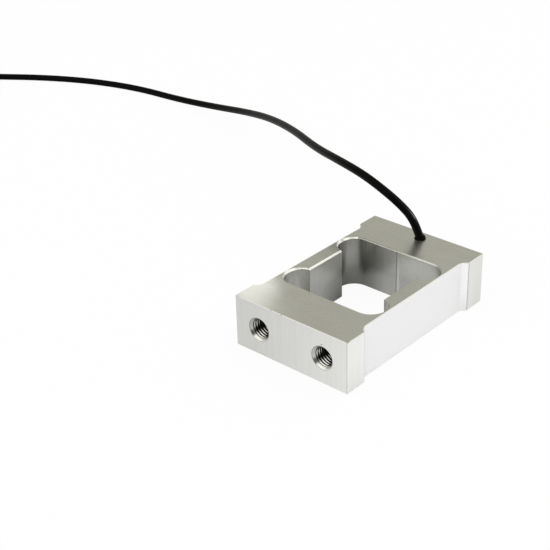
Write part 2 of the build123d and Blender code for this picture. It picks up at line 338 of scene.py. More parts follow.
# Walls of the window: their reach in x and y, the tint and the level low down of their painted shade, and
# where it is darkest
WINDOW_REACH = 27.6 * MM
WALL_SHADE_TINT = (1.0, 1.0, 0.978)
WALL_LOW_SHADE = 0.59
DARK_CORNER = (-24.0 * MM, 28.0 * MM, 2.0 * MM)
DARK_CORNER_FOOT = (-24.0 * MM, 28.0 * MM, 0)
DARK_PAD_END = (-21.1 * MM, 11.6 * MM, 0)
# Countersinks: their size, the painted shade and low painted highlight that their colour is multiplied by,
# and the dark line round their rim
SINK_RADIUS = 5.75 * MM
SINK_DEPTH = 1.8 * MM
SINK_PAINTED_SHADE = (0.62, 0.62, 0.61, 1)
SINK_LOW_HIGHLIGHT = (1.15, 1.15, 1.15, 1)
RIM_LINE_COLOUR = (0.12, 0.12, 0.115, 1)
# Side recesses: floor and side face in x, ends in y, and the film of silicone on the ends
RECESS_FLOOR = 28.4 * MM
RECESS_FACE = 31.3 * MM
RECESS_END = 38.2 * MM
FILM_COLOUR = (0.88, 0.88, 0.88, 1)
# Lines on the metal that carry painted highlight and shade: middle and half width in millimetres
SEAM_LINE = (0.2, 0.7)
SEAM_HIGHLIGHT = (0.78, 0.78, 0.76, 1)
SEAM_SHADOW_LINE = (-0.9, 0.4)
SEAM_SHADOW = (0.6, 0.6, 0.6, 1)
RECESS_LINE = (38.45, 0.3)
CORNER_LINE = (31.2, 0.2)
EDGE_SHADE = (0.66, 0.66, 0.67, 1)
# Small dark nicks, and grey smears on the near countersinks: place and radius in millimetres
SPECK_COLOUR = (0.10, 0.10, 0.09, 1)
SPECKS = [
    ((17.7, -50.0, 19.5), 0.4),
    ((-29.9, -50.0, 25.6), 0.5),
    ((-10.6, -50.0, 25.4), 0.35),
    ((-4.7, -50.0, 25.4), 0.35),
    ((-31.4, -50.0, 25.3), 0.5),
]
SMEAR_COLOUR = (0.20, 0.20, 0.195, 1)
SMEARS = [
    ((13.7, -49.8, 9.6), 1.7),
    ((-22.1, -49.8, 9.6), 1.7),
]
# Threads: flanks in painted light, half light and shade, and the painted shade in the roots and on the crests
FLANK_DARK = (0.86, 0.86, 0.84, 1)
FLANK_LIGHT = (0.98, 0.98, 0.96, 1)
FLANK_HALF_LIT = (0.52, 0.52, 0.51, 1)
FLANK_UNLIT = (0.02, 0.02, 0.019, 1)
ROOT_AND_CREST_SHADE = (0.012, 0.012, 0.011, 1)


def hole_distance(tree, place):
    """Distance from the axis of the nearest tapped hole, the length of (|x| - half spacing, z - middle)."""
    x, _, z = separated(tree, place)
    across = maths(tree, "SUBTRACT", maths(tree, "ABSOLUTE", x), HOLE_SPACING / 2)
    up = maths(tree, "SUBTRACT", z, mid_z)
    pair = node(tree, "ShaderNodeCombineXYZ", {0: across, 1: up})
    return node(tree, "ShaderNodeVectorMath", {0: pair.outputs[0]}, operation="LENGTH").outputs[1]


def spot(tree, place, centre, radius):
    """One on a small round spot and nothing outside it, with a soft edge."""
    gap = gap_to(tree, place, tuple(value * MM for value in centre))
    return below(tree, gap, radius * 0.5 * MM, radius * MM)


def stripe(tree, value, middle, half_width):
    """One on a thin line at a coordinate and nothing beside it, with soft edges."""
    gap = maths(tree, "ABSOLUTE", maths(tree, "SUBTRACT", value, middle * MM))
    return below(tree, gap, half_width * 0.4 * MM, half_width * MM)


def window_painted_shade(tree, place):
    """Painted shade of the window's walls, which their colour is multiplied by.

    It is even low down. Higher up it falls with the distance from the foot of the far left corner, and dips
    at that corner's lobe. It sinks near the dark corner, near the left pad's far end and all along the left,
    except on the far half of the near left lobe, which gets painted light instead."""
    x, y, z = separated(tree, place)
    corner_tone = ranged(tree, gap_to(tree, place, DARK_CORNER), 8 * MM, 17 * MM, 0.60, 1.0)
    pad_tone = ranged(tree, gap_to(tree, place, DARK_PAD_END), 3 * MM, 18 * MM, 0.42, 1.0)
    plan = node(tree, "ShaderNodeVectorMath", {0: place, 1: (1, 1, 0)}, operation="MULTIPLY")
    plan_gap = gap_to(tree, plan.outputs[0], DARK_CORNER_FOOT)
    lobe_tone = ranged(tree, plan_gap, 5 * MM, 13 * MM, 0.5, 1.0)
    fall = ranged(tree, plan_gap, 18 * MM, 48 * MM, 0.0, 0.36)
    high_tone = maths(tree, "SUBTRACT", lobe_tone, fall)
    tone = blend_values(tree, ranged(tree, z, 12 * MM, 22 * MM), WALL_LOW_SHADE, high_tone)
    left_tone = ranged(tree, x, -21 * MM, -18 * MM, 0.87, 1.0)
    near_lobe = product(tree, below(tree, x, -20 * MM, -19 * MM), below(tree, y, -11.8 * MM, -11.6 * MM))
    lift = blend_values(tree, near_lobe, 1.0, ranged(tree, y, -16.0 * MM, -13.8 * MM, 1.0, 1.8))
    return product(tree, tone, corner_tone, pad_tone, left_tone, lift)


def milled_aluminium():
    """Satin milled aluminium: upright tool marks on the sides and walls, marks across on top and bottom."""
    material, tree, shader, coords = new_material("milled_aluminium", Metallic=1.0)
    place = coords["Object"]
    x, y, z = separated(tree, place)
    across = maths(tree, "ABSOLUTE", x)
    along = maths(tree, "ABSOLUTE", y)
    flat = ranged(tree, maths(tree, "ABSOLUTE", separated(tree, coords["Normal"])[2]), 0.5, 0.9)
    upright = maths(tree, "SUBTRACT", 1.0, flat)

    def marks(waves, offset=(0, 0, 0)):
        return noise(tree, place, waves, 3.0, 0.6, offset)

    fine = blend_values(tree, flat, marks((2600, 2600, 40)), marks((700, 2200, 700)))
    broad = blend_values(tree, flat, marks((420, 420, 9), (3, 5, 7)), marks((60, 300, 60), (1, 2, 3)))
    tone = maths(tree, "MULTIPLY_ADD", fine, 0.5, product(tree, broad, 0.5))
    colour = blend_colours(tree, ranged(tree, tone, 0.32, 0.68), ALUMINIUM_DARK, ALUMINIUM_LIGHT)

    def painted(share, new_colour):
        return blend_colours(tree, share, colour, new_colour)

    def shaded(share, shade):
        return blend_colours(tree, share, colour, shade, "MULTIPLY")

    # Painted shade darkens the window's walls. The cutter's passes meet in the middle of the end walls, in a
    # seam with a painted highlight and a painted shadow beside it.
    inside = [below(tree, value, WINDOW_REACH, WINDOW_REACH + 4 * SHARP) for value in (across, along)]
    wall = product(tree, *inside, upright)
    wall_inputs = {0: WALL_SHADE_TINT, "Scale": window_painted_shade(tree, place)}
    colour = shaded(wall, node(tree, "ShaderNodeVectorMath", wall_inputs, operation="SCALE").outputs[0])
    colour = painted(product(tree, wall, 0.5, stripe(tree, x, *SEAM_LINE)), SEAM_HIGHLIGHT)
    colour = shaded(product(tree, wall, stripe(tree, x, *SEAM_SHADOW_LINE)), SEAM_SHADOW)

    # Recess ends carry a film of the silicone. A line of painted shade runs beside them, and down the end
    # faces' corners.
    past_floor = ranged(tree, across, RECESS_FLOOR, RECESS_FLOOR + SHARP)
    under_face = below(tree, across, RECESS_FACE, RECESS_FACE + SHARP)
    short_of_end = below(tree, along, RECESS_END, RECESS_END + SHARP)
    recess = product(tree, past_floor, under_face, short_of_end, upright)
    colour = painted(recess, FILM_COLOUR)
    at_end = ranged(tree, along, end_y - SINK_DEPTH, end_y - SINK_DEPTH + SHARP)
    corner = product(tree, at_end, stripe(tree, across, *CORNER_LINE))
    edge = maths(tree, "MAXIMUM", product(tree, stripe(tree, along, *RECESS_LINE), upright), corner)

    # Countersinks are turned rings with painted shade, a painted highlight at the bottom, and a dark line
    # round the rim
    from_hole = hole_distance(tree, place)
    sink = product(tree, at_end, below(tree, from_hole, SINK_RADIUS, SINK_RADIUS + SHARP / 2))
    low = below(tree, z, mid_z - 4.6 * MM, mid_z - 3.0 * MM)
    colour = shaded(sink, blend_colours(tree, low, SINK_PAINTED_SHADE, SINK_LOW_HIGHLIGHT))
    colour = shaded(edge, EDGE_SHADE)
    from_rim = maths(tree, "ABSOLUTE", maths(tree, "SUBTRACT", from_hole, SINK_RADIUS))
    rim_line = product(tree, at_end, ranged(tree, from_rim, 0.04 * MM, 0.16 * MM, 0.55, 0.0))
    colour = painted(rim_line, RIM_LINE_COLOUR)
    for centre, radius in SMEARS:
        colour = painted(product(tree, sink, spot(tree, place, centre, radius)), SMEAR_COLOUR)
    for centre, radius in SPECKS:
        colour = painted(spot(tree, place, centre, radius), SPECK_COLOUR)
    tree.links.new(colour, shader.inputs["Base Color"])

    cloud = noise(tree, place, (60, 60, 60), 3.0, 0.55, (9, 1, 4))
    rough = spread(tree, cloud, MILLED_ROUGHNESS - 0.03, MILLED_ROUGHNESS + 0.05)
    rough = maths(tree, "ADD", rough, spread(tree, fine, -0.04, 0.04))
    tree.links.new(rough, shader.inputs["Roughness"])
    bumped(tree, shader, maths(tree, "MULTIPLY_ADD", broad, 1.6, fine), MILLED_BUMP)
    return material


def tapped_thread():
    """Cut thread with painted light and shade: bright flanks low down, grey ones near the mouth's top, and
    dark ones out of the light.

    Crests and roots are painted dark, as shade."""
    material, tree, shader, coords = new_material("tapped_thread", Metallic=1.0)
    place = coords["Object"]
    _, y, z = separated(tree, place)
    depth = maths(tree, "SUBTRACT", end_y, maths(tree, "ABSOLUTE", y))
    height = maths(tree, "SUBTRACT", z, mid_z)
    from_axis = hole_distance(tree, place)
    root = ranged(tree, from_axis, 4.74 * MM, 4.90 * MM)
    crest = below(tree, from_axis, 4.34 * MM, 4.42 * MM)
    # The painted light's edge sinks with the depth, and grey half-lit flanks above it reach only a few
    # millimetres in
    unlit = ranged(tree, maths(tree, "MULTIPLY_ADD", depth, 0.1, height), -3.9 * MM, -2.4 * MM)
    half_lit = ranged(tree, maths(tree, "MULTIPLY_ADD", depth, -0.3, height), -3.2 * MM, -1.4 * MM)
    half_lit = product(tree, half_lit, below(tree, depth, 4.5 * MM, 7.0 * MM))
    grain = noise(tree, place, (1500, 300, 1500), 2.0, 0.5)
    bright = blend_colours(tree, grain, FLANK_DARK, FLANK_LIGHT)
    flank = blend_colours(tree, unlit, bright, blend_colours(tree, half_lit, FLANK_UNLIT, FLANK_HALF_LIT))
    colour = blend_colours(tree, maths(tree, "MAXIMUM", root, crest), flank, ROOT_AND_CREST_SHADE)
    tree.links.new(colour, shader.inputs["Base Color"])
    tree.links.new(spread(tree, grain, 0.16, 0.26), shader.inputs["Roughness"])
    return material


def white_silicone():
    """Smooth white silicone rubber with a slight unevenness."""
    material, tree, shader, coords = new_material("white_silicone", Roughness=0.42, Specular_IOR_Level=0.4)
    place = coords["Object"]
    wave = noise(tree, place, (90, 60, 90), 2.0, 0.5)
    colour = blend_colours(tree, wave, (0.868, 0.868, 0.868, 1), (0.882, 0.882, 0.882, 1))
    tree.links.new(colour, shader.inputs["Base Color"])
    bumped(tree, shader, noise(tree, place, (250, 200, 250), 2.0, 0.5), 0.02 * MM)
    return material


def black_jacket():
    """Satin black cable jacket with a fine grain and a slightly uneven gloss."""
    material, tree, shader, coords = new_material("black_jacket", Specular_IOR_Level=0.058)
    place = coords["Object"]
    grain = noise(tree, place, (2500, 2500, 2500), 2.0, 0.6)
    patch = noise(tree, place, (150, 150, 150), 2.0, 0.5)
    colour = blend_colours(tree, patch, (0.0005, 0.0005, 0.0006, 1), (0.0015, 0.0015, 0.0016, 1))
    tree.links.new(colour, shader.inputs["Base Color"])
    tree.links.new(spread(tree, patch, 0.28, 0.36), shader.inputs["Roughness"])
    bumped(tree, shader, grain, 0.0015 * MM)
    return material


def plain_plastic(name, dark, light, roughness, grain_scale=900.0, grain_depth=0.01, gloss=0.5):
    """Plastic or resin with a slightly uneven colour and a fine grain, its depth in millimetres."""
    material, tree, shader, coords = new_material(name, Specular_IOR_Level=gloss)
    place = coords["Object"]
    grain = noise(tree, place, (grain_scale,) * 3, 3.0, 0.6)
    patch = noise(tree, place, (grain_scale / 8,) * 3, 2.0, 0.5, (2, 4, 8))
    tree.links.new(blend_colours(tree, patch, (*dark, 1), (*light, 1)), shader.inputs["Base Color"])
    tree.links.new(spread(tree, grain, roughness - 0.05, roughness + 0.05), shader.inputs["Roughness"])
    bumped(tree, shader, grain, grain_depth * MM)
    return material


def bare_metal(name, dark, light, roughness):
    """Plain metal with small changes of tone and gloss."""
    material, tree, shader, coords = new_material(name, Metallic=1.0)
    grain = noise(tree, coords["Object"], (1200, 1200, 1200), 3.0, 0.6)
    tree.links.new(blend_colours(tree, grain, (*dark, 1), (*light, 1)), shader.inputs["Base Color"])
    tree.links.new(spread(tree, grain, roughness - 0.06, roughness + 0.06), shader.inputs["Roughness"])
    return material


aluminium = milled_aluminium()
thread_metal = tapped_thread()
silicone = white_silicone()
jacket = black_jacket()
rubber = plain_plastic("black_rubber", (0.0005, 0.0005, 0.0005), (0.0015, 0.0015, 0.0015), 0.45, gloss=0.06)
tinned = bare_metal("tinned_wire", (0.60, 0.59, 0.56), (0.80, 0.79, 0.76), 0.28)
# Brighter metal for the widened rim chamfers, a painted highlight on the real chamfer
rim_highlight_metal = bare_metal("rim_highlight_metal", (0.93, 0.93, 0.91), (0.97, 0.97, 0.95), 0.28)
brass = bare_metal("crimped_brass", (0.62, 0.45, 0.20), (0.80, 0.62, 0.32), 0.3)


def paint(names, material):
    """Gives CAD nodes a finish."""
    for name in names:
        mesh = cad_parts[name].data
        mesh.materials.clear()
        mesh.materials.append(material)


# Sensor body with cut threads

def thread_cutter(segments=60):
    """A threaded plug that cuts one hole: a 60 degree groove carried along a helix into the block.

    The plug's axis is Y and its mouth is at y = 0. The groove fades out over the last turn."""
    groove = (THREAD_ROOT_RADIUS - TAP_DRILL_RADIUS) * math.tan(math.radians(30))
    root_flat = THREAD_PITCH / 8
    crest_half = (THREAD_PITCH - root_flat - 2 * groove) / 2
    crest = TAP_DRILL_RADIUS + 0.03 * MM
    profile = np.array([
        (0, crest),
        (crest_half, crest),
        (crest_half + groove, THREAD_ROOT_RADIUS),
        (crest_half + groove + root_flat, THREAD_ROOT_RADIUS),
        (THREAD_PITCH - crest_half, crest),
        (THREAD_PITCH, crest),
    ])
    outside_turns = 2
    turns = outside_turns + round(THREAD_DEPTH / THREAD_PITCH)
    step = np.arange(turns * segments + 1)
    angle = 2 * np.pi * step / segments
    along = THREAD_PITCH * (step[:, None] / segments - outside_turns) + profile[None, :, 0]
    deepest = along.max()
    fade = np.clip((deepest - THREAD_PITCH / 2 - along) / THREAD_PITCH, 0, 1)
    radius = crest + (profile[None, :, 1] - crest) * fade
    x = radius * np.sin(angle)[:, None]
    z = radius * np.cos(angle)[:, None]
    points = np.stack([x, along, z], -1)
    columns = len(profile)
    index = np.arange(points.shape[0] * columns).reshape(-1, columns)
    quads = np.stack([index[:-1, :-1], index[:-1, 1:], index[1:, 1:], index[1:, :-1]], -1)
    faces = quads.reshape(-1, 4).tolist()
    points = points.reshape(-1, 3)
    start_loop = [*index[:segments + 1, 0], *index[0, ::-1][1:]]
    end_loop = [*index[-segments - 1:, -1], *index[-1, ::-1][1:]]
    for loop in (start_loop, end_loop):
        centre = len(points)
        middle = (0, points[loop, 1].mean(), 0)
        points = np.vstack([points, [middle]])
        faces += [[centre, int(a), int(b)] for a, b in zip(loop, loop[1:])]
    return points, faces


def applied(piece):
    """The piece's mesh with its modifiers applied. The piece itself is removed."""
    evaluated = piece.evaluated_get(bpy.context.evaluated_depsgraph_get())
    mesh = bpy.data.meshes.new_from_object(evaluated)
    bpy.data.objects.remove(piece)
    return mesh


def even_normals(piece):
    """Keeps flat faces flat where they run into rounded ones, by weighting normals by face area."""
    weigh = piece.modifiers.new("even_normals", "WEIGHTED_NORMAL")
    weigh.mode = "FACE_AREA"
    weigh.weight = 100
    weigh.keep_sharp = True


# The opening's left rim and its chamfer, as in the CAD, and the wider chamfer along it
RIM_CHAMFER = 0.45 * MM
LOBE_CENTRE = np.array([19.65, 19.25, 0]) * MM
LOBE_RADIUS = 7.75 * MM
PAD_FACE_X = 21.1 * MM
PAD_HALF_LENGTH = 11.64 * MM
LOBE_SCRAPED_WIDTH = 0.95 * MM
PAD_SCRAPED_WIDTH = 0.74 * MM
# How far the wedges run past the pad's ends, stand over the faces that they cut, and turn round a lobe
WEDGE_RUN_OUT = 0.8 * MM
WEDGE_OVER = 0.3 * MM
WEDGE_SWEEP_DEGREES = 100


def rim_wedges():
    """Rings of three wedges that widen the opening's chamfer on the left: both lobes' and the pad's edge.

    Each is a triangle carried along the rim, which leaves a face at 45 degrees. Round a lobe its width is
    the CAD's chamfer plus the rest times the cube of the cosine of the angle from straight left."""
    turn = np.radians(np.linspace(-WEDGE_SWEEP_DEGREES, WEDGE_SWEEP_DEGREES, 61))
    # Past 48 degrees towards the opening's middle, the pad's wedge takes over from the lobe's
    turn = turn[turn > math.radians(-48)]
    wedges = []
    for end in (-1, 1):
        outward = np.stack([-np.cos(turn), end * np.sin(turn), 0 * turn], -1)
        rim = LOBE_CENTRE * (-1, end, 1) + LOBE_RADIUS * outward
        facing = np.clip(np.cos(turn), 0, 1) ** 3
        width = (RIM_CHAMFER + (LOBE_SCRAPED_WIDTH - RIM_CHAMFER) * facing)[:, None]
        wedges.append((rim, outward, width))
    reach = PAD_HALF_LENGTH + WEDGE_RUN_OUT
    rim = np.array([(-PAD_FACE_X, y, 0) for y in (-reach, 0, reach)])
    wedges.append((rim, np.tile([-1.0, 0, 0], (3, 1)), np.full((3, 1), PAD_SCRAPED_WIDTH)))
    up = np.array([0, 0, 1.0])
    for rim, outward, width in wedges:
        top = rim + (0, 0, top_z)
        inner = top - outward * WEDGE_OVER
        outer = top + outward * (width + WEDGE_OVER)
        yield np.stack([
            outer + up * WEDGE_OVER,
            inner + up * WEDGE_OVER,
            inner - up * (width + WEDGE_OVER),
        ], 1)


def add_threaded_body():
    """A merged copy of the block's mesh with the left rim scraped and the four threads cut into it."""
    plug, plug_faces = thread_cutter()
    points, faces = [], []
    for end in (-1, 1):
        for side in (-1, 1):
            faces += [[index + len(points) * len(plug) for index in face] for face in plug_faces]
            points.append(plug * (-end, -end, 1) + (side * HOLE_SPACING / 2, end * end_y, mid_z))
    cutter = mesh_piece("thread_cutter", np.vstack(points), faces, smooth=False)
    cutter.data.materials.append(thread_metal)

    block = placed("threaded_block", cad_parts["sensor_body"].data.copy())
    shape = bmesh.new()
    shape.from_mesh(block.data)
    bmesh.ops.remove_doubles(shape, verts=shape.verts, dist=1e-6)
    bmesh.ops.dissolve_limit(shape, angle_limit=math.radians(0.05), verts=shape.verts, edges=shape.edges)
    shape.to_mesh(block.data)
    shape.free()
    block.data.materials.clear()
    block.data.materials.append(aluminium)
    cutters = [cutter]
    for rings in rim_wedges():
        wedge = mesh_piece("rim_wedge", *loft(rings), smooth=False)
        # The widened chamfers get the brighter metal: a painted highlight along the rim
        wedge.data.materials.append(rim_highlight_metal)
        cutters.append(wedge)
    for tool in cutters:
        cut = block.modifiers.new("cut", "BOOLEAN")
        cut.operation = "DIFFERENCE"
        cut.solver = "EXACT"
        cut.material_mode = "TRANSFER"
        cut.object = tool
    mesh = applied(block)
    for tool in cutters:
        bpy.data.objects.remove(tool)
    mesh.shade_smooth()
    mesh.set_sharp_from_angle(angle=math.radians(28))
    body = placed("beam", mesh)
    even_normals(body)
    return body


beam = add_threaded_body()
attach(beam, "root")
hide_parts("sensor_body")

# Grommet: a plug in the bore with a nib that leans with the cable
BORE_Y = 44.0 * MM
mouth = np.array([0, BORE_Y, top_z])
lean = np.array(NIB_TOP) * MM - mouth
lean /= np.linalg.norm(lean)
# Its turned profile: millimetres along the axis from the bore's mouth, and radius
NIB_PROFILE = [
    (-3.0, 1.9),
    (-3.0, 2.70),
    (-0.6, 2.72),
    (0.0, 2.76),
    (0.25, 2.74),
    (0.5, 2.62),
    (0.8, 2.42),
    (1.15, 2.28),
    (1.4, 2.16),
    (1.4, 1.9),
]
nib = mesh_piece("grommet", *loft(lathe(mouth, lean, np.array(NIB_PROFILE) * MM)))
nib.data.materials.append(rubber)
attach(nib, "root")
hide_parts("cable_grommet")

# Stripped end: a shrunk sleeve, and five cores that fan out on the table
TAIL_END = np.array(CABLE_TAIL[-1])
TAIL_DIRECTION = TAIL_END - np.array(CABLE_TAIL[-2])
TAIL_DIRECTION /= np.linalg.norm(TAIL_DIRECTION)
TAIL_SIDE = np.array([-TAIL_DIRECTION[1], TAIL_DIRECTION[0], 0])
# The sleeve's radius on the jacket, how much its half width and height lose over the cores, and how fast
SLEEVE_RADIUS = 2.40
SLEEVE_NARROWING = 0.10
SLEEVE_FLATTENING = 1.10
SLEEVE_TAPER = 4.0
SLEEVE_RIPPLE = 0.03
# Places along the sleeve, from the jacket's end, and how far its skin is turned in there to make the mouths
SLEEVE_RINGS = [
    (-6.0, 0.36), (-6.0, 0.12), (-5.7, 0.03), (-5.4, 0), (-3.0, 0), (-0.4, 0), (0.0, 0),
    (0.5, 0), (1.0, 0), (1.6, 0), (2.2, 0), (2.8, 0), (3.4, 0), (4.0, 0), (5.0, 0),
    (5.7, 0.02), (6.0, 0.12), (6.0, 0.30), (5.7, 0.38), (4.2, 0.38),
]
SLEEVE_GRIP = 6.0
SLEEVE_LENGTH = 12.0
CORE_RADIUS = 0.4
CONDUCTOR_RADIUS = 0.25
# The cores lie side by side: how far apart inside the sleeve and in its mouth, and their runs there
CORE_INNER_PITCH = 0.8
CORE_PITCH = 0.85
CORE_HIDDEN = 1.6
CORE_STRAIGHT = 0.8
CORE_FAN_DEGREES = 11.0
CORE_DROP_RUN = 10.0
CORE_RUN = 20.0
CONDUCTOR_LENGTH = 6.0
CORE_STRANDS = {"around": 24, "lobes": 7, "depth": 0.10, "twist": 1.9}
DRAIN_STRANDS = {"around": 24, "lobes": 6, "depth": 0.13, "twist": 2.1}
CORES = {
    "red_core": "core_red",
    "black_core": "core_black",
    "shield_drain": "core_shield",
    "green_core": "core_green",
    "white_core": "core_white",
}


def sleeve_rings(around=48):
    """Sleeve rings: an ellipse carried along the tail, round on the jacket and flattened over the cores.

    Its half width and half height each lose their share by a smooth step over the taper, and a sine of the
    distance gives them a faint ripple. The first and last rings turn in to make the mouths."""
    along, turned_in = np.array(SLEEVE_RINGS).T
    share = eased(along / SLEEVE_TAPER)
    ripple = SLEEVE_RIPPLE * np.sin(along * 2.4) * (along > -5.5)
    wide = SLEEVE_RADIUS - SLEEVE_NARROWING * share - turned_in + ripple * share
    high = SLEEVE_RADIUS - SLEEVE_FLATTENING * share - turned_in + ripple
    high = np.minimum(high, SLEEVE_RADIUS)
    angle = np.linspace(0, 2 * np.pi, around, endpoint=False)
    centres = TAIL_END + along[:, None] * TAIL_DIRECTION
    across = (wide[:, None] * np.cos(angle))[:, :, None] * TAIL_SIDE
    up = (high[:, None] * np.sin(angle))[:, :, None] * np.array([0, 0, 1.0])
    return centres[:, None, :] + across + up


def smooth_path(corners, steps=10):
    """Quadratic curve through the middles of the runs between corners, from the first one to the last.

    Each stretch is (1 - t)^2 a + 2 t (1 - t) b + t^2 c, with a and c the runs' middles and b the corner."""
    corners = np.asarray(corners, float)
    middles = (corners[1:] + corners[:-1]) / 2
    starts = np.vstack([corners[:1], middles[1:-1]])
    ends = np.vstack([middles[1:-1], corners[-1:]])
    t = np.linspace(0, 1, steps, endpoint=False)[:, None]
    stretches = zip(starts, corners[1:-1], ends)
    path = [(1 - t) ** 2 * a + 2 * t * (1 - t) * b + t ** 2 * c for a, b, c in stretches]
    return np.vstack([*path, corners[-1:]])


def tube_rings(path, radius, around=16, lobes=0, depth=0.0, twist=0.0):
    """Rings of a tube along a path, of radius r (1 + depth cos(lobes (angle + twist times the distance)))."""
    path = np.asarray(path, float)
    tangent = np.gradient(path, axis=0)
    tangent /= np.linalg.norm(tangent, axis=1)[:, None]
    side = np.cross(tangent, (0, 0, 1.0))
    side /= np.linalg.norm(side, axis=1)[:, None]
    rise = np.cross(side, tangent)
    steps = np.linalg.norm(np.diff(path, axis=0), axis=1)
    distance = np.concatenate([[0], np.cumsum(steps)])
    angle = np.linspace(0, 2 * np.pi, around, endpoint=False)
    swell = 1 + depth * np.cos(lobes * (angle[None, :] + twist * distance[:, None]))
    reach = np.asarray(radius, float).reshape(-1, 1) * swell
    outward = np.cos(angle)[:, None] * side[:, None, :] + np.sin(angle)[:, None] * rise[:, None, :]
    return path[:, None, :] + reach[:, :, None] * outward


def core_route(place):
    """Corners of a core's path, its place in the row counted from the middle one."""
    heading = math.atan2(TAIL_DIRECTION[1], TAIL_DIRECTION[0]) + math.radians(CORE_FAN_DEGREES) * place
    along = np.array([math.cos(heading), math.sin(heading), 0])
    mouth_end = TAIL_END + (SLEEVE_LENGTH - SLEEVE_GRIP) * TAIL_DIRECTION
    start = mouth_end + TAIL_SIDE * CORE_PITCH * place
    inside = mouth_end - CORE_HIDDEN * TAIL_DIRECTION + TAIL_SIDE * CORE_INNER_PITCH * place
    bend = start + CORE_STRAIGHT * TAIL_DIRECTION
    drop = np.array([0, 0, CORE_RADIUS - mouth_end[2]])
    landing = bend + along * CORE_DROP_RUN + drop
    end = landing + along * CORE_RUN
    return [inside, start, bend, landing, end], along


def add_drain(name, path, tip):
    """The drain: twisted and tinned strands, bare from the sleeve to the tip."""
    step = np.linspace(0, 1, 260)
    count = np.linspace(0, 1, len(path))
    fine = np.stack([np.interp(step, count, path[:, axis]) for axis in range(3)], 1)
    whole = np.vstack([fine[:-1], tip])
    rings = tube_rings(whole, np.full(len(whole), CORE_RADIUS * 0.86), **DRAIN_STRANDS)
    piece = mesh_piece(name + "_strands", *scaled(loft(rings)))
    piece.data.materials.append(tinned)
    return piece


def add_core(name, place, insulation):
    """One core: its insulation, then its twisted and tinned strands. The drain has no insulation."""
    corners, along = core_route(place)
    path = smooth_path(corners)
    straight = np.linspace(0, 1, 25)[1:, None]
    path = np.vstack([path[:-1], path[-2] + straight * (path[-1] - path[-2])])
    tip = path[-1] + np.linspace(0, CONDUCTOR_LENGTH, 60)[:, None] * along
    if insulation is None:
        return add_drain(name, path, tip)
    cover_radius = np.full(len(path), CORE_RADIUS)
    cover_radius[-1] = CORE_RADIUS * 0.93
    cover, cover_faces = loft(tube_rings(path, cover_radius))
    strand_radius = np.full(len(tip), CONDUCTOR_RADIUS)
    strands, strand_faces = loft(tube_rings(tip - 0.5 * along, strand_radius, **CORE_STRANDS))
    faces = cover_faces + [[index + len(cover) for index in face] for face in strand_faces]
    piece = mesh_piece(name + "_stripped", *scaled((np.vstack([cover, strands]), faces)))
    piece.data.materials.append(insulation)
    piece.data.materials.append(tinned)
    centres = np.empty(len(piece.data.polygons) * 3)
    piece.data.polygons.foreach_get("center", centres)
    past = (centres.reshape(-1, 3) / MM - path[-1]) @ along > 0.01
    piece.data.polygons.foreach_set("material_index", past.astype(np.int32))
    return piece


def scaled(shape):
    """A shape given in millimetres, in metres."""
    points, faces = shape
    return points * MM, faces


# Tie round the coil: a strap over its three strands, with its head and cut end on the slanting side
TIE_DEGREES = -30.0
TIE_WIDTH = 5.0
TIE_THICKNESS = 0.48
TIE_CORNER = 0.15
TIE_STRANDS = np.array([(25.0, 2.5), (21.0, 2.5), (21.0, 6.5)])
TIE_HEAD_SIZE = (4.0, 2.7, 4.6)
TIE_HEAD_LIFT = 3.65
TIE_STUB_SIZE = (2.6, 0.9, 3.6)
TIE_STUB_RUN = 2.6
TIE_STUB_LIFT = 0.4


def strap_rings(count=120):
    """Strap rings: a rounded rectangle carried round the hull of the strands.

    The hull's point for a direction is the strand centre that lies furthest that way, plus its radius."""
    angle = np.linspace(0, 2 * np.pi, count, endpoint=False)
    outward = np.stack([np.cos(angle), np.sin(angle)], 1)
    furthest = TIE_STRANDS[np.argmax(outward @ TIE_STRANDS.T, axis=1)]
    half = TIE_WIDTH / 2
    outer = [(-half, 0.34), (-half + TIE_CORNER, TIE_THICKNESS), (0, TIE_THICKNESS)]
    outer += [(half - TIE_CORNER, TIE_THICKNESS), (half, 0.34)]
    inner = [(half, 0.12), (half - 0.1, 0.01), (0, 0.01), (-half + 0.1, 0.01)]
    section = np.array([(-half, 0.12), *outer, *inner])
    reach = CABLE_DIAMETER / MM / 2 + section[:, 1]
    flat = furthest[:, None, :] + reach[None, :, None] * outward[:, None, :]
    return np.concatenate([flat, np.broadcast_to(section[None, :, :1], (count, len(section), 1))], 2)


def pad_rings(centre, outward, size, sharpness=0.28, count=32):
    """A rounded block in the tie's section, from the superellipse x = a sgn(cos u) |cos u|^e and so on.

    Its three sizes are along the strap, away from it and across its width."""
    turn = np.linspace(0, 2 * np.pi, count, endpoint=False)
    lift = np.linspace(-np.pi / 2, np.pi / 2, count // 2)

    def power(value):
        return np.sign(value) * np.abs(value) ** sharpness

    ring = power(np.cos(lift))[:, None]
    first = size[0] / 2 * ring * power(np.cos(turn))
    second = size[1] / 2 * ring * power(np.sin(turn))
    third = size[2] / 2 * power(np.sin(lift))[:, None] * np.ones(count)
    outward = np.asarray(outward, float)
    run = np.array([-outward[1], outward[0]])
    flat = np.asarray(centre, float) + first[:, :, None] * run + second[:, :, None] * outward
    return np.concatenate([flat, third[:, :, None]], 2)


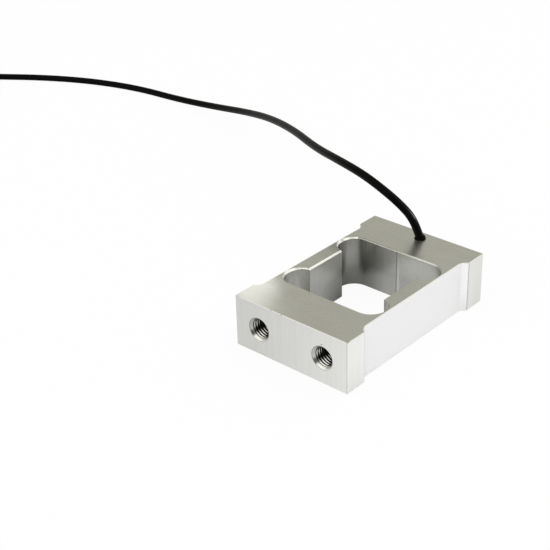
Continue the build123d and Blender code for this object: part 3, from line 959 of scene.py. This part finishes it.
def add_tie():
    """The tie's strap, head and cut end, turned to their place on the ring."""
    slant = np.array([1.0, 1.0]) / math.sqrt(2)
    head_centre = (TIE_STRANDS[0] + TIE_STRANDS[2]) / 2 + slant * TIE_HEAD_LIFT
    stub_centre = head_centre + np.array([-slant[1], slant[0]]) * TIE_STUB_RUN + slant * TIE_STUB_LIFT
    shapes = [
        loft(strap_rings(), closed=True),
        loft(pad_rings(head_centre, slant, TIE_HEAD_SIZE)),
        loft(pad_rings(stub_centre, slant, TIE_STUB_SIZE)),
    ]
    points, faces = [], []
    for shape_points, shape_faces in shapes:
        start = sum(len(part) for part in points)
        faces += [[index + start for index in face] for face in shape_faces]
        points.append(shape_points)
    flat = np.vstack(points)
    turn = math.radians(TIE_DEGREES)
    x = COIL_CENTRE[0] + flat[:, 0] * math.cos(turn) + flat[:, 2] * math.sin(turn)
    y = COIL_CENTRE[1] + flat[:, 0] * math.sin(turn) - flat[:, 2] * math.cos(turn)
    return mesh_piece("tie_strap", *scaled((np.stack([x, y, flat[:, 1]], 1), faces)))


BLACK = [(0.005, 0.005, 0.005), (0.010, 0.010, 0.010)]
tie_plastic = plain_plastic("tie_plastic", *BLACK, 0.42, gloss=0.25)
sleeve_plastic = plain_plastic("sleeve_plastic", *BLACK, 0.40, 600.0, 0.02, 0.25)
INSULATION = {
    "red_core": plain_plastic("red_insulation", (0.42, 0.012, 0.012), (0.55, 0.02, 0.02), 0.3),
    "black_core": plain_plastic("black_insulation", (0.012, 0.012, 0.012), (0.02, 0.02, 0.02), 0.3),
    "shield_drain": None,
    "green_core": plain_plastic("green_insulation", (0.015, 0.2, 0.045), (0.02, 0.27, 0.07), 0.3),
    "white_core": plain_plastic("white_insulation", (0.72, 0.72, 0.7), (0.8, 0.8, 0.78), 0.3),
}

tie = add_tie()
tie.data.materials.append(tie_plastic)
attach(tie, "root")
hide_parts("coil_tie")

sleeve = mesh_piece("shrunk_sleeve", *scaled(loft(sleeve_rings())))
sleeve.data.materials.append(sleeve_plastic)
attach(sleeve, "root")
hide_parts("end_sleeve")

for place, (name, slot) in enumerate(CORES.items()):
    core = add_core(name, place - 2, INSULATION[name])
    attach(core, "root")
    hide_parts(name)

# Cable
cable.data.materials.append(jacket)
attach(cable, "root")
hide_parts("cable", "cable_coil", "cable_tail")

# Finishes of the nodes that stay as they are
paint(["left_cover", "right_cover"], silicone)
paint(["cable_end"], jacket)
paint(["left_near_terminal", "right_near_terminal", "cable_ferrule"], brass)
INNER_FINISHES = {
    "label_foil": (["rating_label"], (0.74, 0.76, 0.80), (0.80, 0.82, 0.85), 0.4, 400.0, 0.004),
    "gauge_carrier": (
        ["left_near_gauge", "left_far_gauge", "right_near_gauge", "right_far_gauge"],
        (0.55, 0.32, 0.08), (0.68, 0.42, 0.14), 0.3,
    ),
    "ribbon_enamel": (["left_ribbon", "right_ribbon"], (0.38, 0.12, 0.05), (0.5, 0.2, 0.08), 0.3),
    "board_laminate": (
        ["left_terminal_board", "right_terminal_board"],
        (0.03, 0.16, 0.07), (0.05, 0.22, 0.10), 0.35,
    ),
    "chip_ceramic": (
        ["zero_trim_resistor", "span_resistor", "zero_drift_resistor", "span_drift_resistor"],
        (0.02, 0.02, 0.022), (0.04, 0.04, 0.042), 0.3,
    ),
    "bundle_wrap": (["link_bundle", "core_bundle"], (0.4, 0.4, 0.42), (0.6, 0.6, 0.62), 0.4),
    "potting_resin": (["bore_potting"], (0.02, 0.02, 0.02), (0.035, 0.035, 0.035), 0.2),
}
for finish, (names, *look) in INNER_FINISHES.items():
    paint(names, plain_plastic(finish, *look))


# Studio

def floor_material():
    """White floor: the camera sees it nearly white with the object's shadow, all other rays see paper.

    Mirror rays see half paper and half a glowing, painted pool of light, which grows from left to right and
    dims towards the back."""
    material = bpy.data.materials.new("white_floor")
    material.use_nodes = True
    tree = material.node_tree
    tree.nodes.clear()
    paper = node(tree, "ShaderNodeBsdfDiffuse", {"Color": (0.90, 0.90, 0.90, 1)})
    path = node(tree, "ShaderNodeLightPath").outputs
    mirrored = path["Is Glossy Ray"]
    x, y, _ = separated(tree, node(tree, "ShaderNodeTexCoord").outputs["Object"])
    # Painted pool of light, a glow seen only in mirrors
    pool = ranged(tree, x, -45 * MM, 46 * MM, 0.65, 1.27)
    pool = maths(tree, "SUBTRACT", pool, ranged(tree, y, 20 * MM, 60 * MM, 0.0, 0.22))
    strength = blend_values(tree, mirrored, 1.0, pool)
    glow = node(tree, "ShaderNodeEmission", {"Color": (1, 1, 1, 1), "Strength": strength})
    seen = maths(tree, "MULTIPLY_ADD", path["Is Camera Ray"], 0.93, product(tree, mirrored, 0.5))
    both = node(tree, "ShaderNodeMixShader", {0: seen, 1: paper.outputs[0], 2: glow.outputs[0]})
    output = node(tree, "ShaderNodeOutputMaterial")
    tree.links.new(both.outputs[0], output.inputs[0])
    return material


def add_floor():
    """A wide flat floor on the surface that the cell lies on."""
    half, height = 4.0, -0.02 * MM
    corners = [(-half, -half, height), (half, -half, height), (half, half, height), (-half, half, height)]
    floor = mesh_piece("floor", corners, [[0, 1, 2, 3]], smooth=False)
    floor.data.materials.append(floor_material())


WHITE_SKY = (1.0, 1.0, 1.0, 1)
ROOM_SKY = (0.452, 0.442, 0.382, 1)
ROOM_LIGHT = (0.70, 0.70, 0.70, 1)


def set_world():
    """White for the camera, and a pale warm grey room for all else."""
    world = bpy.data.worlds.new("studio")
    bpy.context.scene.world = world
    world.use_nodes = True
    tree = world.node_tree
    tree.nodes.clear()
    path = node(tree, "ShaderNodeLightPath").outputs
    seen = node(tree, "ShaderNodeBackground", {"Color": WHITE_SKY, "Strength": 1.0})
    room = blend_colours(tree, path["Is Glossy Ray"], ROOM_LIGHT, ROOM_SKY)
    lit = node(tree, "ShaderNodeBackground", {"Color": room, "Strength": 1.0})
    inputs = {0: path["Is Camera Ray"], 1: lit.outputs[0], 2: seen.outputs[0]}
    both = node(tree, "ShaderNodeMixShader", inputs)
    output = node(tree, "ShaderNodeOutputWorld")
    tree.links.new(both.outputs[0], output.inputs[0])


def add_softbox(name, direction, distance, size, power, aim=(0, 0, 0)):
    """A square area lamp that shines at a point from a direction."""
    data = bpy.data.lights.new(name, "AREA")
    data.shape = "SQUARE"
    data.size = size
    data.energy = power
    lamp = placed(name, data)
    place = Vector(direction).normalized() * distance
    lamp.rotation_mode = "QUATERNION"
    lamp.rotation_quaternion = (-place).to_track_quat("-Z", "Y")
    lamp.location = place + Vector(aim)
    lamp.visible_camera = False
    return lamp


add_floor()
set_world()
add_softbox("key_softbox", (0.62, 0.60, 0.52), distance=1.6, size=2.6, power=11.5)
add_softbox("front_softbox", (-0.30, -0.75, 0.62), distance=1.7, size=2.3, power=9.5)
# A small card that is mirrored in the near left corner of the top face, turned about its own axis
CARD_AIM = (-0.0290, -0.0425, top_z)
CARD_TURN = Quaternion((0, 0, 1), math.radians(-45.0))
card = add_softbox("side_card", (-0.588, 0.645, 0.488), 0.035, size=0.020, power=0.00076, aim=CARD_AIM)
card.rotation_quaternion = card.rotation_quaternion @ CARD_TURN

# A narrow lamp that gives the cable the highlight in its bend
BEND_AIM = (-0.004, 0.040, 0.055)
bend_lamp = add_softbox("bend_lamp", (0.72, 0.66, 0.0), 0.05, size=0.028, power=0.0120, aim=BEND_AIM)
bend_lamp.data.spread = math.radians(26)

add_softbox("overhead_softbox", (0.15, -0.1, 1.0), distance=2.0, size=2.3, power=4.5)
bpy.context.scene.view_settings.view_transform = "Standard"
